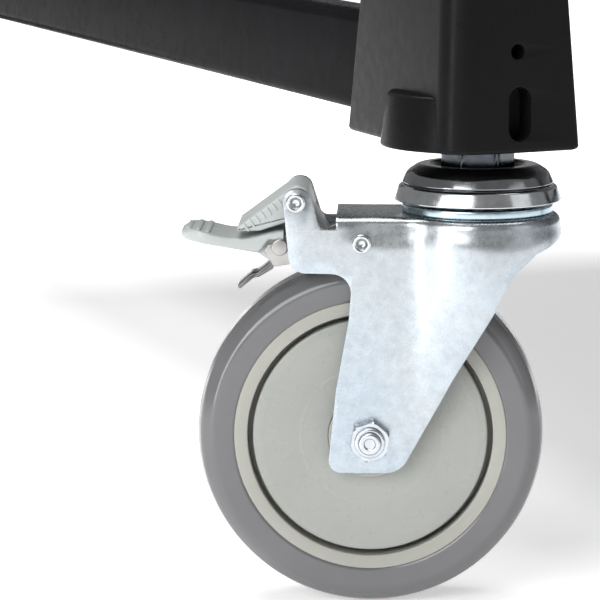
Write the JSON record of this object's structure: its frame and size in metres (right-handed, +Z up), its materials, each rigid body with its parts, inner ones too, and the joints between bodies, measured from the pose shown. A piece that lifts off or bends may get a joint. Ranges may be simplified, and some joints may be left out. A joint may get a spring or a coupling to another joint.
{
  "type": "rolling utility cart",
  "caption": "Rolling utility cart with tray shelves on tube uprights, low side rails, moulded feet, a push handle and swivel casters with foot brakes.",
  "frame": {"origin": "on the floor under the middle of the cart", "axes": "+Z up; Y along the cart with the push handle and the braked casters at -Y; X across it"},
  "size_m": [0.7624, 0.9134, 1.0067],
  "materials": {
    "foot_plastic": "satin moulded, fine grain",
    "black_paint": "gloss powder coat",
    "tray_plastic": "satin moulded",
    "mat_rubber": "matt ribbed",
    "grip_rubber": "matt",
    "zinc_steel": "bright zinc plate",
    "stem_steel": "zinc plate",
    "race_steel": "blue zinc plate",
    "dark_chrome": "dark polished plate",
    "tyre_rubber": "smooth gloss polyurethane",
    "core_plastic": "semi-gloss moulded",
    "cover_plastic": "semi-gloss moulded",
    "bearing_steel": "bright",
    "pedal_plastic": "satin moulded",
    "spring_steel": "oiled spring steel"
  },
  "bodies": {
    "frame": {"foot_front_left": "foot_plastic", "foot_front_right": "foot_plastic", "foot_rear_left": "foot_plastic", "foot_rear_right": "foot_plastic", "upright_front_left": "black_paint", "upright_front_right": "black_paint", "upright_rear_left": "black_paint", "upright_rear_right": "black_paint", "side_rails": "black_paint", "bottom_tray": "tray_plastic", "middle_tray": "tray_plastic", "top_tray": "tray_plastic", "shelf_mats": "mat_rubber", "push_handle": "black_paint", "handle_grip": "grip_rubber", "upright_caps": "foot_plastic", "frame_bolts": "zinc_steel", "caster_stems": "stem_steel", "swivel_caps": "dark_chrome", "dust_rings": "zinc_steel"},
    "swivel_front_left": {"fork_front_left": "zinc_steel", "ball_race_front_left": "race_steel", "axle_front_left": "stem_steel", "brake_rivets_left": "stem_steel", "brake_spring_left": "spring_steel"},
    "wheel_front_left": {"tyre_front_left": "tyre_rubber", "wheel_core_front_left": "core_plastic", "hub_covers_front_left": "cover_plastic", "wheel_bearings_front_left": "bearing_steel"},
    "swivel_front_right": {"fork_front_right": "zinc_steel", "ball_race_front_right": "race_steel", "axle_front_right": "stem_steel", "brake_rivets_right": "stem_steel", "brake_spring_right": "spring_steel"},
    "wheel_front_right": {"tyre_front_right": "tyre_rubber", "wheel_core_front_right": "core_plastic", "hub_covers_front_right": "cover_plastic", "wheel_bearings_front_right": "bearing_steel"},
    "swivel_rear_left": {"fork_rear_left": "zinc_steel", "ball_race_rear_left": "race_steel", "axle_rear_left": "stem_steel"},
    "wheel_rear_left": {"tyre_rear_left": "tyre_rubber", "wheel_core_rear_left": "core_plastic", "hub_covers_rear_left": "cover_plastic", "wheel_bearings_rear_left": "bearing_steel"},
    "swivel_rear_right": {"fork_rear_right": "zinc_steel", "ball_race_rear_right": "race_steel", "axle_rear_right": "stem_steel"},
    "wheel_rear_right": {"tyre_rear_right": "tyre_rubber", "wheel_core_rear_right": "core_plastic", "hub_covers_rear_right": "cover_plastic", "wheel_bearings_rear_right": "bearing_steel"},
    "pedal_left": {"brake_pedal_left": "pedal_plastic", "brake_rocker_left": "stem_steel", "brake_shoe_left": "spring_steel"},
    "release_left": {"release_lever_left": "pedal_plastic"},
    "pedal_right": {"brake_pedal_right": "pedal_plastic", "brake_rocker_right": "stem_steel", "brake_shoe_right": "spring_steel"},
    "release_right": {"release_lever_right": "pedal_plastic"}
  },
  "joints": [
    {"name": "swivel_front_left_turn", "type": "hinge", "parent": "frame", "child": "swivel_front_left", "pos_m": [-0.279, -0.424, 0.145], "axis": [0, 0, 1], "continuous": true},
    {"name": "wheel_front_left_roll", "type": "hinge", "parent": "swivel_front_left", "child": "wheel_front_left", "pos_m": [-0.31465, -0.40987, 0.0625], "axis": [-0.3684, -0.9296, 0], "continuous": true},
    {"name": "swivel_front_right_turn", "type": "hinge", "parent": "frame", "child": "swivel_front_right", "pos_m": [0.279, -0.424, 0.145], "axis": [0, 0, 1], "continuous": true},
    {"name": "wheel_front_right_roll", "type": "hinge", "parent": "swivel_front_right", "child": "wheel_front_right", "pos_m": [0.31465, -0.40987, 0.0625], "axis": [-0.3684, 0.9296, 0], "continuous": true},
    {"name": "swivel_rear_left_turn", "type": "hinge", "parent": "frame", "child": "swivel_rear_left", "pos_m": [-0.279, 0.424, 0.145], "axis": [0, 0, 1], "continuous": true},
    {"name": "wheel_rear_left_roll", "type": "hinge", "parent": "swivel_rear_left", "child": "wheel_rear_left", "pos_m": [-0.31465, 0.40987, 0.0625], "axis": [0.3684, -0.9296, 0], "continuous": true},
    {"name": "swivel_rear_right_turn", "type": "hinge", "parent": "frame", "child": "swivel_rear_right", "pos_m": [0.279, 0.424, 0.145], "axis": [0, 0, 1], "continuous": true},
    {"name": "wheel_rear_right_roll", "type": "hinge", "parent": "swivel_rear_right", "child": "wheel_rear_right", "pos_m": [0.31465, 0.40987, 0.0625], "axis": [0.3684, 0.9296, 0], "continuous": true},
    {"name": "brake_left_press", "type": "hinge", "parent": "swivel_front_left", "child": "pedal_left", "pos_m": [-0.31758, -0.40871, 0.1333], "axis": [-0.3684, -0.9296, 0], "range_deg": [0, 9]},
    {"name": "release_left_lift", "type": "hinge", "parent": "swivel_front_left", "child": "release_left", "pos_m": [-0.33938, -0.40007, 0.1479], "axis": [-0.3684, -0.9296, 0], "range_deg": [-9, 0]},
    {"name": "brake_right_press", "type": "hinge", "parent": "swivel_front_right", "child": "pedal_right", "pos_m": [0.31758, -0.40871, 0.1333], "axis": [-0.3684, 0.9296, 0], "range_deg": [0, 9]},
    {"name": "release_right_lift", "type": "hinge", "parent": "swivel_front_right", "child": "release_right", "pos_m": [0.33938, -0.40007, 0.1479], "axis": [-0.3684, 0.9296, 0], "range_deg": [-9, 0]}
  ],
  "couplings": [
    {"joint": "release_left_lift", "follows": "brake_left_press", "ratio": -1},
    {"joint": "release_right_lift", "follows": "brake_right_press", "ratio": -1}
  ]
}
